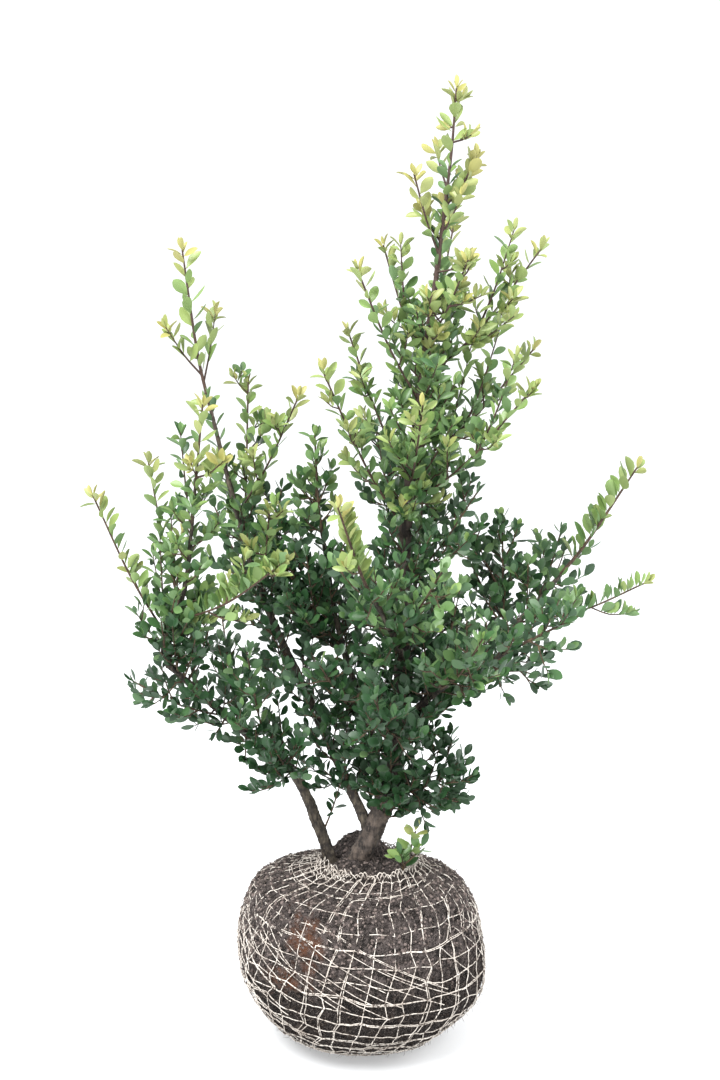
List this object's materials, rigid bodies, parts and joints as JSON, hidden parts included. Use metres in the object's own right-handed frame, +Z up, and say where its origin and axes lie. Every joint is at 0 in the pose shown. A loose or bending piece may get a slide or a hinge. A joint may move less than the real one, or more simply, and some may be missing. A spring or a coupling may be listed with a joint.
{
  "type": "japanese holly shrub on a root ball",
  "caption": "Young upright evergreen shrub with several stems and small glossy leaves, standing on its netted root ball, ready to plant as a hedge",
  "frame": {"origin": "centre of the root ball's flat underside, on the ground", "axes": "+Z up along the height, +X to the shrub's right as seen from its front, -Y towards its front"},
  "size_m": [0.4873, 0.3152, 0.8327],
  "materials": {
    "soil": "damp fibrous soil, matt",
    "twine": "undyed natural twine, matt",
    "bark": "grey-brown bark, rough",
    "twig": "thin red-brown young bark, satin",
    "old_leaf": "dark blue-green leaf, glossy above",
    "mid_leaf": "fresh green leaf, glossy above",
    "young_leaf": "new yellow-green leaf, satin"
  },
  "bodies": {
    "root": {"root_ball": "soil", "root_ball_net": "twine", "trunk": "bark", "left_stem": "bark", "left_riser": "bark", "left_leader": "bark", "middle_stem": "bark", "right_arm": "bark", "right_low_arm": "bark", "front_bough": "bark", "back_bough": "bark", "leader_top": "young_leaf", "top_right": "young_leaf", "top_left": "young_leaf", "upper_front": "young_leaf", "upper_back": "young_leaf", "upper_right": "young_leaf", "upper_left": "young_leaf", "upper_left_front": "young_leaf", "leader_back": "mid_leaf", "middle_right": "mid_leaf", "lower_right": "mid_leaf", "leader_back_right": "mid_leaf", "middle_left": "mid_leaf", "lower_left": "mid_leaf", "leader_front": "mid_leaf", "leader_back_low": "old_leaf", "leader_right_low": "old_leaf", "left_leader_top": "young_leaf", "left_inner_tall": "young_leaf", "left_back_tall": "mid_leaf", "left_inner_dark": "old_leaf", "left_back": "old_leaf", "left_front": "mid_leaf", "riser_top": "young_leaf", "far_left": "young_leaf", "left_upright": "young_leaf", "riser_right": "mid_leaf", "low_left": "old_leaf", "left_inner": "old_leaf", "left_stem_back": "old_leaf", "base_left": "old_leaf", "middle_top": "mid_leaf", "middle_left_low": "old_leaf", "middle_back": "old_leaf", "middle_front": "old_leaf", "front_top": "young_leaf", "front_side": "mid_leaf", "front_low": "old_leaf", "right_arm_top": "mid_leaf", "right_side": "mid_leaf", "right_bottom": "old_leaf", "right_shelf": "old_leaf", "right_back": "old_leaf", "right_low_tip": "old_leaf", "front_right": "mid_leaf", "low_right": "old_leaf", "back_top": "old_leaf", "back_low": "old_leaf", "foot_sprout": "young_leaf"}
  },
  "joints": []
}
